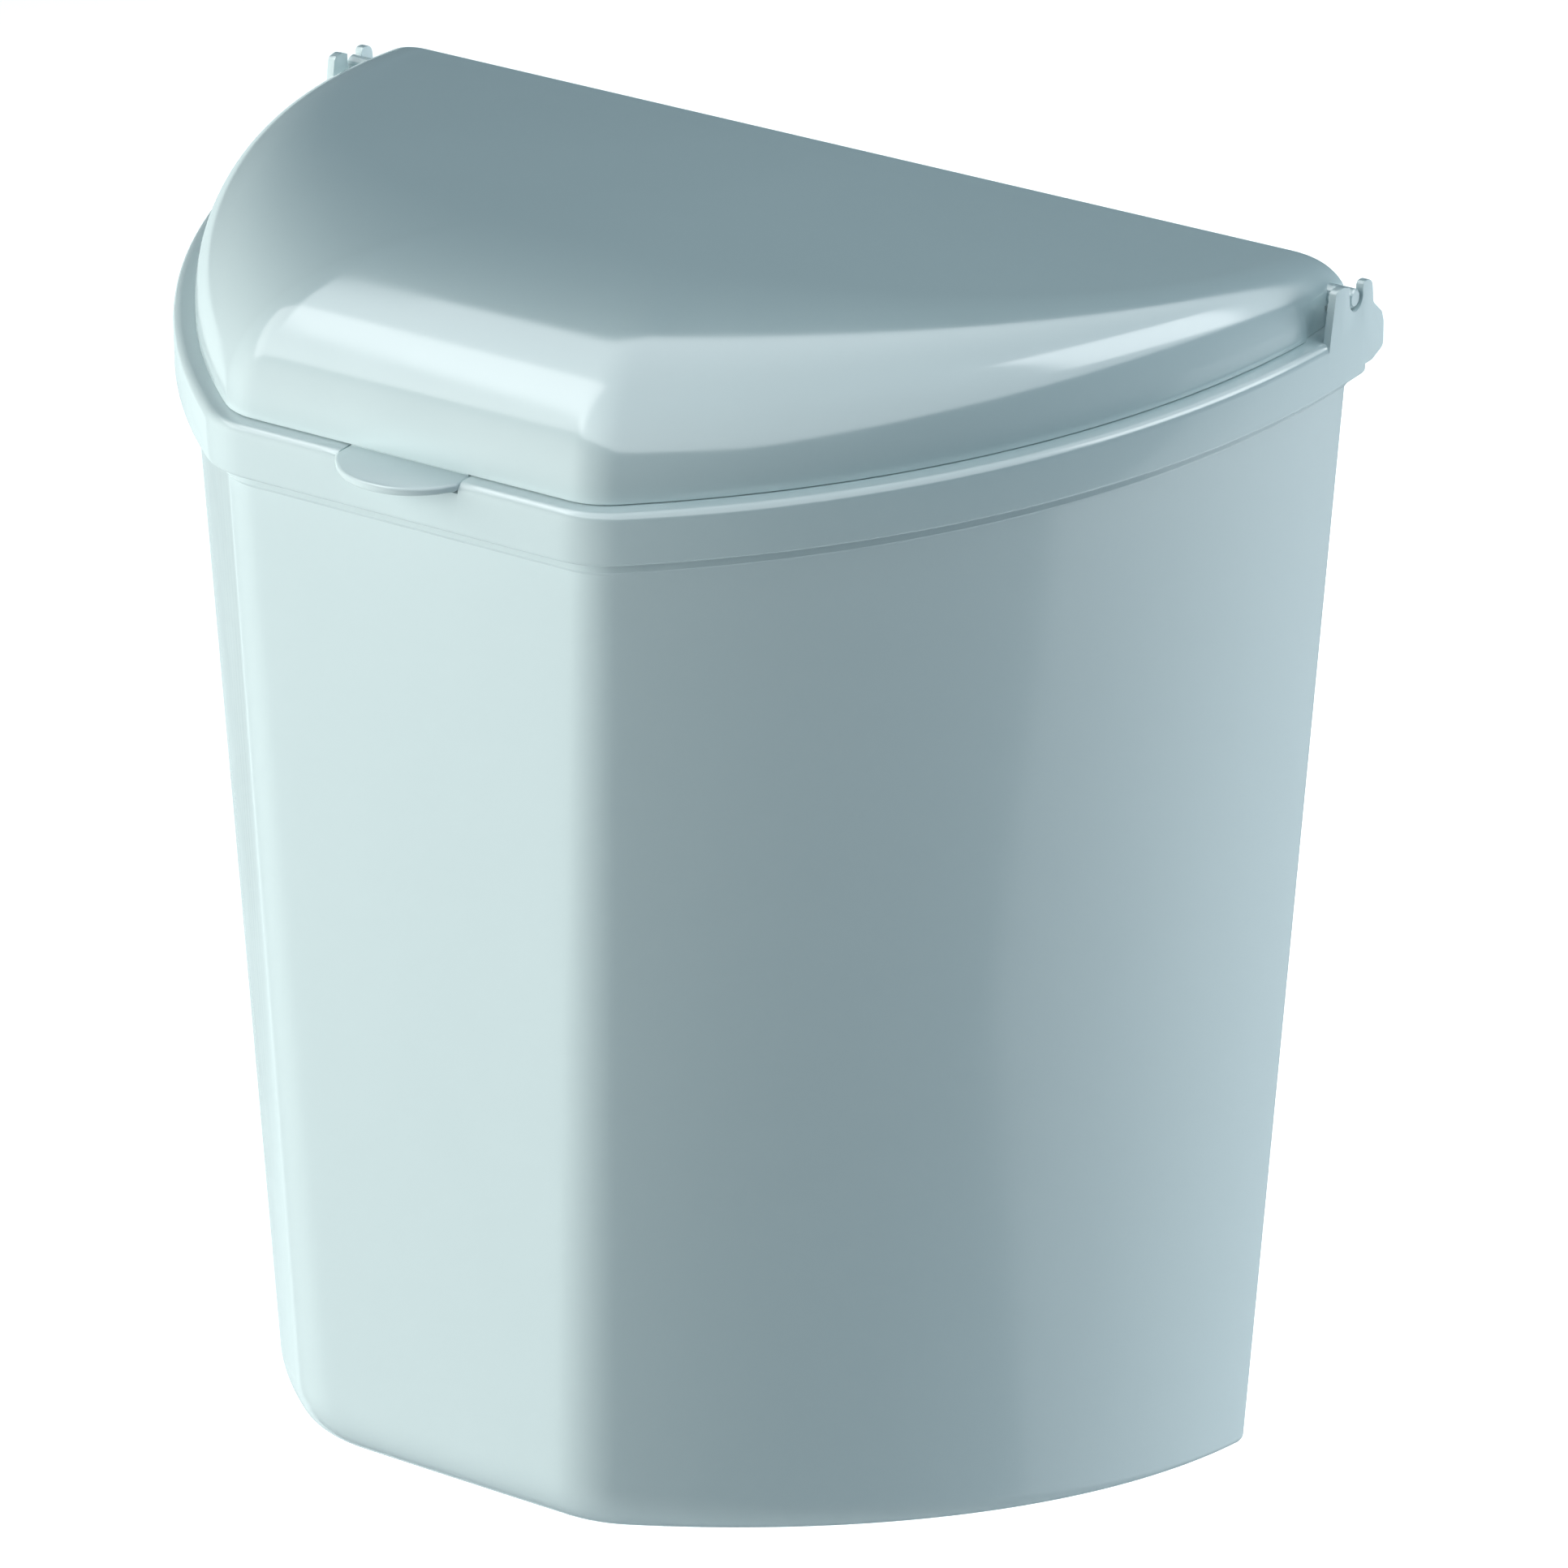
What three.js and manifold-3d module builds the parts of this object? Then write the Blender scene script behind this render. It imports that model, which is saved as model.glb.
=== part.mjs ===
// Wall-hung plastic waste bin: a half-round tapered tub, a rim collar that clips over its mouth,
// a domed lid hinged on the collar, and a screwed wall rail that the collar hangs on.
// Millimetres, +Z up. The wall is the plane y = 0 and the bin stands out from it towards -Y.

import * as THREE from "three";
import { mergeVertices } from "three/addons/utils/BufferGeometryUtils.js";
import Module from "manifold-3d";

// ---- driving dimensions ------------------------------------------------------------------

// Whole bin
const BIN_WIDTH = 270;
const BIN_DEPTH = 180;
const FACET_HALF_WIDTH = 48;
const FRONT_CORNER_RADIUS = 20;
const BACK_CORNER_RADIUS = 3;
const FACET_CORNER_SHIFT = 0.348;
const STANDOFF = 7.5;
const FIT_GAP = 0.4;

// Rim collar. Insets are measured inwards from the bin's outline, heights from the rim's top.
const COLLAR_HEIGHT = 12;
const COLLAR_WALL = 2.2;
const COLLAR_EDGE_RADIUS = 2;
const CHANNEL_ROOF = -2.5;
const MOUTH_INSET = 11.6;
const INNER_SKIRT_DEPTH = 14;
const UPSTAND_HEIGHT = 2;

// Tub
const TUB_WALL = 2.2;
const TUB_FLOOR = 2.6;
const TUB_TOP = -3;
const TUB_BACK_GAP = 2.6;
const TUB_INSET = 4.5;
const TUB_BAND_INSET = 3.9;
const TUB_BAND_BOTTOM = -15;
const TUB_DEPTH_AT_WALL = 288.5;
const BASE_SLOPE = 0.194;
const BASE_SIDE_DRAFT = 18.3;
const BASE_FRONT_DRAFT = 2.5;
const BASE_BACK_DRAFT = 3;
const BASE_FACET_HALF_WIDTH = 37.8;
const BASE_CORNER_RADIUS = 20;
const BASE_BACK_RADIUS = 3.6;
const BASE_FILLET_FRONT = 15.5;
const BASE_FILLET_BACK = 3;

// Lid
const LID_INSET = 4.7;
const LID_BACK_GAP = 0.5;
const LID_WALL = 2.2;
const LID_EDGE_HEIGHT = 0.4;
const LID_BACK_EDGE_HEIGHT = 4.9;
const LID_BACK_HEIGHT = 12.8;
const LID_TOP_SLOPE = 0.12;
const LID_SHOULDER_POWER = 2.4;
const PLATEAU = { halfWidth: 116, depth: 100, back: 2.5, facet: 16, frontRadius: 40, backRadius: 2 };

// Finger tab on the lid's front edge
const TAB_HALF_WIDTH = 15.7;
const TAB_REACH = 9.8;
const TAB_THICKNESS = 1.9;
const TAB_TOP = 0.05;
const TAB_NOTCH_DEPTH = 2.3;

// Hinge. The ears stand on the collar's ledge and run back as cheeks over the rail's ends.
const HINGE_Y = -6.35;
const HINGE_Z = 7.1;
const PIN_RADIUS = 2.15;
const PIN_INNER_X = 124;
const PIN_OUTER_X = 134.5;
const EAR_THICKNESS = 1.8;
const EAR_FOOT = -2.5;
const CHEEK_BACK_Y = 5.8;
const SLOT_Y = -6.65;
const SLOT_RADIUS = 2.8;
const POCKET_X = 128.4;
const POCKET_FRONT_Y = -14.5;
const KNUCKLE_THICKNESS = 6;

// Wall rail and the collar's hanging studs
const RAIL_HALF_WIDTH = 131.8;
const RAIL_FRONT_Y = 0.9;
const RAIL_TOP = 0.6;
const RAIL_BOTTOM = -11.4;
const RAIL_PLATE = 2;
const RAIL_POCKET_BACK_Y = 5.1;
const STUD_SPACING = 85;
const STUD_STEM_HALF_WIDTH = 6;
const STUD_HEAD_HALF_WIDTH = 10;
const STUD_STEM_BOTTOM = -6;
const STUD_HEAD_BOTTOM = -8.6;
const STUD_TOP = -1.5;
const SCREW_XS = [-112, -42, 42, 112];
const SCREW_Z = -5.5;
const SCREW_RADIUS = 2;
const SCREW_HEAD_RADIUS = 3.6;
const SCREW_HEAD_LENGTH = 1.7;

// Wall spacers
const SPACER_X = 62;
const SPACER_Z = -246;
const SPACER_RADIUS = 9;
const SPACER_STEM_RADIUS = 3;

// Curve resolution
const SIDE_STEPS = 12;
const CORNER_STEPS = 4;
const FILLET_STEPS = 6;
const SHOULDER_STEPS = 8;

const MATERIALS = {
  plastic: new THREE.MeshStandardMaterial({ color: 0xc4d1d8, roughness: 0.34, metalness: 0 }),
  rail: new THREE.MeshStandardMaterial({ color: 0xbecbd2, roughness: 0.4, metalness: 0 }),
  steel: new THREE.MeshStandardMaterial({ color: 0xb4b8bb, roughness: 0.3, metalness: 1 }),
  rubber: new THREE.MeshStandardMaterial({ color: 0x4a5052, roughness: 0.8, metalness: 0 }),
};

// ---- solid helpers -----------------------------------------------------------------------

const wasm = await Module();
wasm.setup();

function weld(geometry) {
  const bare = geometry.clone();
  bare.deleteAttribute("normal");
  bare.deleteAttribute("uv");
  return mergeVertices(bare, 1e-4);
}

function toSolid(geometry) {
  const merged = weld(geometry);
  return new wasm.Manifold(new wasm.Mesh({
    numProp: 3,
    vertProperties: new Float32Array(merged.attributes.position.array),
    triVerts: new Uint32Array(merged.index.array),
  }));
}

function toGeometry(solid) {
  const mesh = solid.getMesh();
  const geometry = new THREE.BufferGeometry();
  geometry.setAttribute("position", new THREE.BufferAttribute(mesh.vertProperties, 3));
  geometry.setIndex(new THREE.BufferAttribute(mesh.triVerts, 1));
  geometry.computeVertexNormals();
  return geometry;
}

function boxBetween(low, high) {
  const geometry = new THREE.BoxGeometry(high[0] - low[0], high[1] - low[1], high[2] - low[2]);
  return geometry.translate((low[0] + high[0]) / 2, (low[1] + high[1]) / 2, (low[2] + high[2]) / 2);
}

// An outline drawn in the (y, z) plane, extruded along X from x0 to x1.
function extrudeAlongX(shape, x0, x1) {
  const settings = { depth: x1 - x0, bevelEnabled: false, curveSegments: 5 };
  const geometry = new THREE.ExtrudeGeometry(shape, settings);
  geometry.applyMatrix4(new THREE.Matrix4().set(0, 0, 1, x0, 1, 0, 0, 0, 0, 1, 0, 0, 0, 0, 0, 1));
  return geometry;
}

// A lathed piece whose axis runs along +Y; profile points are (radius, distance along Y).
function latheAlongY(profile, segments) {
  const points = profile.map(([radius, along]) => new THREE.Vector2(radius, along));
  return new THREE.LatheGeometry(points, segments);
}

function mirrorX(geometry) {
  const mirrored = weld(geometry).scale(-1, 1, 1);
  const index = mirrored.index.array;
  for (let i = 0; i < index.length; i += 3) {
    [index[i], index[i + 1]] = [index[i + 1], index[i]];
  }
  mirrored.computeVertexNormals();
  return mirrored;
}

// Skins a stack of rings. Rings run anticlockwise seen from above and the stack rises on the
// outside. An open stack is capped: its first ring faces down and its last ring faces up.
function loft(rings, closedLoop = false) {
  const count = rings[0].length;
  const positions = rings.flat().flatMap((point) => [point.x, point.y, point.z]);
  const triangles = [];
  const bands = closedLoop ? rings.length : rings.length - 1;
  for (let i = 0; i < bands; i += 1) {
    const lower = i * count;
    const upper = ((i + 1) % rings.length) * count;
    for (let j = 0; j < count; j += 1) {
      const next = (j + 1) % count;
      triangles.push(lower + j, lower + next, upper + next, lower + j, upper + next, upper + j);
    }
  }
  if (!closedLoop) {
    const last = (rings.length - 1) * count;
    for (let j = 1; j < count - 1; j += 1) {
      triangles.push(0, j + 1, j, last, last + j, last + j + 1);
    }
  }
  const geometry = new THREE.BufferGeometry();
  geometry.setAttribute("position", new THREE.Float32BufferAttribute(positions, 3));
  geometry.setIndex(triangles);
  geometry.computeVertexNormals();
  return geometry;
}

// ---- plan outline ------------------------------------------------------------------------

function arcPoints(centreX, centreY, radius, from, to, steps) {
  return Array.from({ length: steps + 1 }, (_, i) => {
    const angle = from + ((to - from) * i) / steps;
    return new THREE.Vector2(centreX + radius * Math.cos(angle), centreY + radius * Math.sin(angle));
  });
}

// Half-round outline: straight back, side arcs that leave the back squarely, and a flat front
// facet. back is how far the straight back lies in front of y = 0. Every outline has the same
// number of points in the same order, so outlines can be joined point to point.
function planOutline({ halfWidth, depth, back, facet, frontRadius, backRadius }) {
  const sideCentreY = -back - backRadius;
  const sideDepth = depth + sideCentreY;
  const sideSpan = halfWidth - facet;
  const sideRadius = (sideDepth ** 2 + sideSpan ** 2) / (2 * sideSpan);
  const sideCentreX = halfWidth - sideRadius;
  const cornerCentreY = -depth + frontRadius;
  const reach = sideRadius - frontRadius;
  const drop = cornerCentreY - sideCentreY;
  const cornerCentreX = sideCentreX + Math.sqrt(reach ** 2 - drop ** 2);
  const meetAngle = Math.asin(drop / reach);
  const right = [
    ...arcPoints(cornerCentreX, cornerCentreY, frontRadius, -Math.PI / 2, meetAngle, CORNER_STEPS),
    ...arcPoints(sideCentreX, sideCentreY, sideRadius, meetAngle, 0, SIDE_STEPS).slice(1),
    ...arcPoints(halfWidth - backRadius, sideCentreY, backRadius, 0, Math.PI / 2, CORNER_STEPS).slice(1),
  ];
  const left = right.map((point) => new THREE.Vector2(-point.x, point.y)).reverse();
  return [...right, ...left];
}

// The bin's outline moved inwards by inset, with its back at the given distance.
function binOutline(inset, back = inset) {
  return planOutline({
    halfWidth: BIN_WIDTH / 2 - inset,
    depth: BIN_DEPTH - inset,
    back,
    facet: FACET_HALF_WIDTH - FACET_CORNER_SHIFT * inset,
    frontRadius: Math.max(FRONT_CORNER_RADIUS - inset, 1.5),
    backRadius: Math.max(BACK_CORNER_RADIUS - inset, 1),
  });
}

function raise(outline, z) {
  return outline.map((point) => new THREE.Vector3(point.x, point.y, z));
}

// ---- tub ---------------------------------------------------------------------------------

// Outline of the tub's wall where it meets the rounded base edge.
function wallFoot(inset) {
  return planOutline({
    halfWidth: BIN_WIDTH / 2 - TUB_INSET - BASE_SIDE_DRAFT - inset,
    depth: BIN_DEPTH - TUB_INSET - BASE_FRONT_DRAFT - inset,
    back: TUB_BACK_GAP + BASE_BACK_DRAFT + inset,
    facet: BASE_FACET_HALF_WIDTH - FACET_CORNER_SHIFT * inset,
    frontRadius: BASE_CORNER_RADIUS - inset,
    backRadius: BASE_BACK_RADIUS - inset,
  });
}

// Outline of the flat part of the base, inside its rounded edge.
function flatBase() {
  return planOutline({
    halfWidth: BIN_WIDTH / 2 - TUB_INSET - BASE_SIDE_DRAFT - BASE_FILLET_BACK,
    depth: BIN_DEPTH - TUB_INSET - BASE_FRONT_DRAFT - BASE_FILLET_FRONT,
    back: TUB_BACK_GAP + BASE_BACK_DRAFT + BASE_FILLET_BACK,
    facet: BASE_FACET_HALF_WIDTH - FACET_CORNER_SHIFT * BASE_FILLET_FRONT,
    frontRadius: BASE_CORNER_RADIUS,
    backRadius: 1,
  });
}

// Rings of the rounded base edge, from the wall's foot inwards. The base rises towards the front
// and its edge radius grows from the back to the front.
function baseRings(inset, floorLift) {
  const foot = wallFoot(inset);
  const flat = flatBase();
  return Array.from({ length: FILLET_STEPS + 1 }, (_, step) => {
    const angle = (step / FILLET_STEPS) * (Math.PI / 2);
    return foot.map((point, i) => {
      const radius = point.distanceTo(flat[i]);
      const place = point.clone().lerp(flat[i], 1 - Math.cos(angle));
      const floorZ = -TUB_DEPTH_AT_WALL + floorLift - BASE_SLOPE * place.y;
      return new THREE.Vector3(place.x, place.y, floorZ + radius * (1 - Math.sin(angle)));
    });
  });
}

function tubShell() {
  const outside = [
    ...baseRings(0, 0).reverse(),
    raise(binOutline(TUB_INSET, TUB_BACK_GAP), TUB_BAND_BOTTOM - 1),
    raise(binOutline(TUB_BAND_INSET, TUB_BACK_GAP), TUB_BAND_BOTTOM),
    raise(binOutline(TUB_BAND_INSET, TUB_BACK_GAP), TUB_TOP - 0.6),
    raise(binOutline(TUB_BAND_INSET + 0.6, TUB_BACK_GAP + 0.6), TUB_TOP),
  ];
  const inside = [
    raise(binOutline(TUB_INSET + TUB_WALL - 0.6, TUB_BACK_GAP + TUB_WALL - 0.6), TUB_TOP),
    raise(binOutline(TUB_INSET + TUB_WALL, TUB_BACK_GAP + TUB_WALL), TUB_TOP - 0.6),
    raise(binOutline(TUB_INSET + TUB_WALL, TUB_BACK_GAP + TUB_WALL), TUB_BAND_BOTTOM - 1),
    ...baseRings(TUB_WALL, TUB_FLOOR),
  ];
  return loft([...outside, ...inside]);
}

// Straight line of the tub's back wall at height z, outside face.
function tubBackY(z) {
  const foot = -TUB_DEPTH_AT_WALL + BASE_FILLET_BACK;
  const share = (TUB_BAND_BOTTOM - z) / (TUB_BAND_BOTTOM - foot);
  return -TUB_BACK_GAP - BASE_BACK_DRAFT * share;
}

function buildTub() {
  let tub = toSolid(tubShell());
  for (const side of [-1, 1]) {
    const radius = SPACER_STEM_RADIUS + FIT_GAP;
    const bore = new THREE.CylinderGeometry(radius, radius, 16, 16);
    bore.translate(side * SPACER_X, tubBackY(SPACER_Z) - 1, SPACER_Z);
    tub = tub.subtract(toSolid(bore));
  }
  return toGeometry(tub);
}

// Push-in rubber spacer: a pad against the wall, a stem through the tub and a head inside it.
function buildSpacer() {
  const skin = tubBackY(SPACER_Z);
  const pad = skin + FIT_GAP + 0.2;
  const head = skin - TUB_WALL - FIT_GAP - 0.3;
  return latheAlongY([
    [0, head - 2.4],
    [SPACER_STEM_RADIUS - 0.4, head - 2.4],
    [SPACER_STEM_RADIUS + 1.8, head],
    [SPACER_STEM_RADIUS, head],
    [SPACER_STEM_RADIUS, pad],
    [SPACER_RADIUS, pad],
    [SPACER_RADIUS - 1, STANDOFF - 1],
    [SPACER_RADIUS - 2, STANDOFF],
    [0, STANDOFF],
  ], 24);
}

// ---- rim collar --------------------------------------------------------------------------

// Section of the collar as (inset, height): outer skirt, rounded ledge, upstand under the lid,
// inner skirt inside the tub's mouth, and the channel between them that takes the tub's edge.
function collarSection() {
  const edge = COLLAR_EDGE_RADIUS;
  const rounded = [0, 1, 2, 3].map((i) => {
    const angle = (i / 3) * (Math.PI / 2);
    return [edge * (1 - Math.cos(angle)), -edge * (1 - Math.sin(angle))];
  });
  return [
    [COLLAR_WALL, -COLLAR_HEIGHT],
    [0.7, -COLLAR_HEIGHT],
    [0, -COLLAR_HEIGHT + 0.7],
    ...rounded,
    [MOUTH_INSET - 2, 0],
    [MOUTH_INSET - 2, UPSTAND_HEIGHT],
    [MOUTH_INSET, UPSTAND_HEIGHT],
    [MOUTH_INSET, -INNER_SKIRT_DEPTH],
    [MOUTH_INSET - 1.8, -INNER_SKIRT_DEPTH],
    [MOUTH_INSET - 1.8, CHANNEL_ROOF],
    [COLLAR_WALL, CHANNEL_ROOF],
  ];
}

// Side view of a hinge ear and its cheek as (y, z): a front prong, an open-topped slot for the
// pin, a rounded rear prong, and the cheek that covers the rail's end behind it.
function earShape() {
  const slotFront = SLOT_Y - SLOT_RADIUS;
  const slotRear = SLOT_Y + SLOT_RADIUS;
  const shape = new THREE.Shape();
  shape.moveTo(-17.6, EAR_FOOT);
  shape.lineTo(-15.3, 10.2);
  shape.quadraticCurveTo(-15, 11.6, -13.6, 11.6);
  shape.quadraticCurveTo(-11.2, 11.6, slotFront + 0.2, 10.8);
  shape.lineTo(slotFront, HINGE_Z);
  shape.absarc(SLOT_Y, HINGE_Z, SLOT_RADIUS, Math.PI, 2 * Math.PI, false);
  shape.lineTo(slotRear - 0.2, 9);
  shape.quadraticCurveTo(-3.8, 10.1, -2.6, 10.1);
  shape.quadraticCurveTo(0.5, 9.8, 0.7, 6.8);
  shape.quadraticCurveTo(0.8, 4, 2.1, 2.8);
  shape.lineTo(4.4, 0.7);
  shape.quadraticCurveTo(CHEEK_BACK_Y, -0.6, CHEEK_BACK_Y, -2.6);
  shape.lineTo(CHEEK_BACK_Y, -6.8);
  shape.quadraticCurveTo(CHEEK_BACK_Y, -8.2, 4, -8.7);
  shape.lineTo(1, -9.8);
  shape.lineTo(-3, -9.8);
  shape.lineTo(-3, EAR_FOOT);
  return shape;
}

// Thin upright band that the ears are trimmed from: the bin's side outline, carried straight
// back past the bin's back plane.
function earBand() {
  const band = new THREE.Shape();
  const outer = binOutline(0).slice(CORNER_STEPS, CORNER_STEPS + SIDE_STEPS + 1);
  outer.push(new THREE.Vector2(BIN_WIDTH / 2, CHEEK_BACK_Y + 1));
  const inner = outer.map((point) => new THREE.Vector2(point.x - EAR_THICKNESS, point.y)).reverse();
  band.setFromPoints([...outer, ...inner]);
  const settings = { depth: 30, bevelEnabled: false };
  return new THREE.ExtrudeGeometry(band, settings).translate(0, 0, -12);
}

function buildEar() {
  const profile = extrudeAlongX(earShape(), BIN_WIDTH / 2 - 8, BIN_WIDTH / 2 + 1);
  return toSolid(earBand()).intersect(toSolid(profile));
}

// T-shaped stud on the collar's back that drops into a slot of the wall rail.
function studSolid(centreX) {
  const stemBack = RAIL_FRONT_Y + RAIL_PLATE + 0.5;
  const stem = boxBetween(
    [centreX - STUD_STEM_HALF_WIDTH, -1, STUD_STEM_BOTTOM],
    [centreX + STUD_STEM_HALF_WIDTH, stemBack, STUD_TOP],
  );
  const head = boxBetween(
    [centreX - STUD_HEAD_HALF_WIDTH, stemBack - 0.1, STUD_HEAD_BOTTOM],
    [centreX + STUD_HEAD_HALF_WIDTH, RAIL_POCKET_BACK_Y - 0.4, STUD_TOP],
  );
  return toSolid(stem).add(toSolid(head));
}

function buildCollar() {
  const rings = collarSection().map(([inset, z]) => raise(binOutline(inset), z));
  let collar = toSolid(loft(rings, true));
  const ear = buildEar();
  collar = collar.add(ear).add(toSolid(mirrorX(toGeometry(ear))));
  for (const centreX of [-STUD_SPACING, 0, STUD_SPACING]) {
    collar = collar.add(studSolid(centreX));
  }
  const notch = boxBetween(
    [-TAB_HALF_WIDTH - FIT_GAP, -BIN_DEPTH - 1, -TAB_NOTCH_DEPTH],
    [TAB_HALF_WIDTH + FIT_GAP, -BIN_DEPTH + 8, 1],
  );
  return toGeometry(collar.subtract(toSolid(notch)));
}

// ---- lid ---------------------------------------------------------------------------------

// Rings of one skin of the lid, from its lower edge up to the plateau. drop is the distance
// inside the outer skin.
function lidRings(drop) {
  const edge = binOutline(LID_INSET + drop, LID_BACK_GAP + drop);
  const top = planOutline({ ...PLATEAU, back: PLATEAU.back + drop * 0.4 });
  return Array.from({ length: SHOULDER_STEPS + 1 }, (_, step) => {
    const angle = (step / SHOULDER_STEPS) * (Math.PI / 2);
    const outwards = Math.max(Math.cos(angle), 0) ** (2 / LID_SHOULDER_POWER);
    const upwards = Math.sin(angle) ** (2 / LID_SHOULDER_POWER);
    return edge.map((point, i) => {
      const place = top[i].clone().lerp(point, outwards);
      const crown = LID_BACK_HEIGHT - LID_TOP_SLOPE * place.y - drop;
      return new THREE.Vector3(place.x, place.y, THREE.MathUtils.lerp(LID_EDGE_HEIGHT, crown, upwards));
    });
  });
}

// Plan of the finger tab: a lens that starts inside the lid's front wall.
function tabGeometry() {
  const rim = -BIN_DEPTH;
  const radius = (TAB_HALF_WIDTH ** 2 + TAB_REACH ** 2) / (2 * TAB_REACH);
  const half = Math.asin(TAB_HALF_WIDTH / radius);
  const shape = new THREE.Shape();
  shape.moveTo(TAB_HALF_WIDTH, rim + LID_INSET + LID_WALL - 0.3);
  shape.lineTo(-TAB_HALF_WIDTH, rim + LID_INSET + LID_WALL - 0.3);
  shape.lineTo(-TAB_HALF_WIDTH, rim);
  shape.absarc(0, rim - TAB_REACH + radius, radius, -Math.PI / 2 - half, -Math.PI / 2 + half, false);
  const tab = new THREE.ExtrudeGeometry(shape, {
    depth: TAB_THICKNESS - 0.8,
    bevelEnabled: true,
    bevelThickness: 0.4,
    bevelSize: 0.4,
    bevelOffset: -0.4,
    bevelSegments: 1,
    curveSegments: 16,
  });
  return tab.translate(0, 0, TAB_TOP - TAB_THICKNESS + 0.4);
}

// Stands the tab's root up to the lid's front wall.
function tabRoot() {
  const front = -BIN_DEPTH + LID_INSET;
  return boxBetween(
    [-TAB_HALF_WIDTH + 0.5, front + 0.2, TAB_TOP - TAB_THICKNESS + 0.3],
    [TAB_HALF_WIDTH - 0.5, front + LID_WALL - 0.5, LID_EDGE_HEIGHT + 2],
  );
}

// Solid corner inside the dome that carries a hinge pin, trimmed to the dome's outer skin.
function knuckle(dome) {
  const block = boxBetween(
    [POCKET_X - KNUCKLE_THICKNESS, POCKET_FRONT_Y - 2, LID_BACK_EDGE_HEIGHT],
    [POCKET_X, -LID_BACK_GAP - 1, LID_BACK_HEIGHT],
  );
  return toSolid(block).intersect(dome);
}

// Open corner of the lid that the ear and the pin stand in.
function earPocket() {
  return boxBetween([POCKET_X, POCKET_FRONT_Y, -5], [BIN_WIDTH / 2 + 5, 5, 30]);
}

// Clears the lid's back edge so that it can swing down behind the hinge.
function backRelief() {
  return boxBetween([-BIN_WIDTH / 2, -9, -5], [BIN_WIDTH / 2, 5, LID_BACK_EDGE_HEIGHT]);
}

// Blind bore in the knuckle that the hinge pin is pressed into.
function pinBore() {
  const radius = PIN_RADIUS + 0.3;
  const length = 12;
  const bore = new THREE.CylinderGeometry(radius, radius, length, 20).rotateZ(Math.PI / 2);
  return bore.translate(PIN_INNER_X - 0.3 + length / 2, HINGE_Y, HINGE_Z);
}

function buildLid() {
  const inner = lidRings(LID_WALL).reverse();
  const outer = lidRings(0);
  let lid = toSolid(loft([...inner, ...outer]));
  const corner = knuckle(toSolid(loft(outer)));
  lid = lid.add(corner).add(toSolid(mirrorX(toGeometry(corner))));
  for (const cutter of [earPocket(), pinBore()]) {
    lid = lid.subtract(toSolid(cutter)).subtract(toSolid(mirrorX(cutter)));
  }
  lid = lid.subtract(toSolid(backRelief()));
  lid = lid.add(toSolid(tabRoot())).add(toSolid(tabGeometry()));
  return toGeometry(lid);
}

// Hinge pin: pressed into the lid's knuckle, it runs out through the ear's slot.
function buildPin() {
  return latheAlongY([
    [0, PIN_INNER_X],
    [PIN_RADIUS, PIN_INNER_X],
    [PIN_RADIUS, PIN_OUTER_X - 0.4],
    [PIN_RADIUS - 0.4, PIN_OUTER_X],
    [0, PIN_OUTER_X],
  ], 20).rotateZ(-Math.PI / 2).translate(0, HINGE_Y, HINGE_Z);
}

// ---- wall rail ---------------------------------------------------------------------------

function railOutline() {
  const shape = new THREE.Shape();
  shape.moveTo(RAIL_FRONT_Y, RAIL_BOTTOM + 1);
  shape.quadraticCurveTo(RAIL_FRONT_Y, RAIL_BOTTOM, RAIL_FRONT_Y + 1.2, RAIL_BOTTOM);
  shape.lineTo(STANDOFF - 2, RAIL_BOTTOM);
  shape.lineTo(STANDOFF, RAIL_BOTTOM + 2);
  shape.lineTo(STANDOFF, RAIL_TOP - 2);
  shape.quadraticCurveTo(STANDOFF, RAIL_TOP, STANDOFF - 2, RAIL_TOP);
  shape.lineTo(RAIL_FRONT_Y, RAIL_TOP);
  return shape;
}

function screwHole(x) {
  const access = latheAlongY([
    [0, RAIL_FRONT_Y - 1],
    [SCREW_HEAD_RADIUS + 1, RAIL_FRONT_Y - 1],
    [SCREW_HEAD_RADIUS + 1, RAIL_POCKET_BACK_Y],
    [SCREW_RADIUS + FIT_GAP, RAIL_POCKET_BACK_Y],
    [SCREW_RADIUS + FIT_GAP, STANDOFF + 1],
    [0, STANDOFF + 1],
  ], 20);
  return access.translate(x, 0, SCREW_Z);
}

function buildRail() {
  let rail = toSolid(extrudeAlongX(railOutline(), -RAIL_HALF_WIDTH, RAIL_HALF_WIDTH));
  const pocketFloor = STUD_HEAD_BOTTOM - 0.8;
  for (const centreX of [-STUD_SPACING, 0, STUD_SPACING]) {
    const pocket = boxBetween(
      [centreX - STUD_HEAD_HALF_WIDTH - 1, RAIL_FRONT_Y + RAIL_PLATE, pocketFloor],
      [centreX + STUD_HEAD_HALF_WIDTH + 1, RAIL_POCKET_BACK_Y, RAIL_TOP + 1],
    );
    const slot = boxBetween(
      [centreX - STUD_STEM_HALF_WIDTH - 0.5, RAIL_FRONT_Y - 1, STUD_STEM_BOTTOM - FIT_GAP],
      [centreX + STUD_STEM_HALF_WIDTH + 0.5, RAIL_FRONT_Y + RAIL_PLATE + 1, RAIL_TOP + 1],
    );
    rail = rail.subtract(toSolid(pocket)).subtract(toSolid(slot));
  }
  for (const x of SCREW_XS) {
    rail = rail.subtract(toSolid(screwHole(x)));
  }
  return toGeometry(rail);
}

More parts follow.
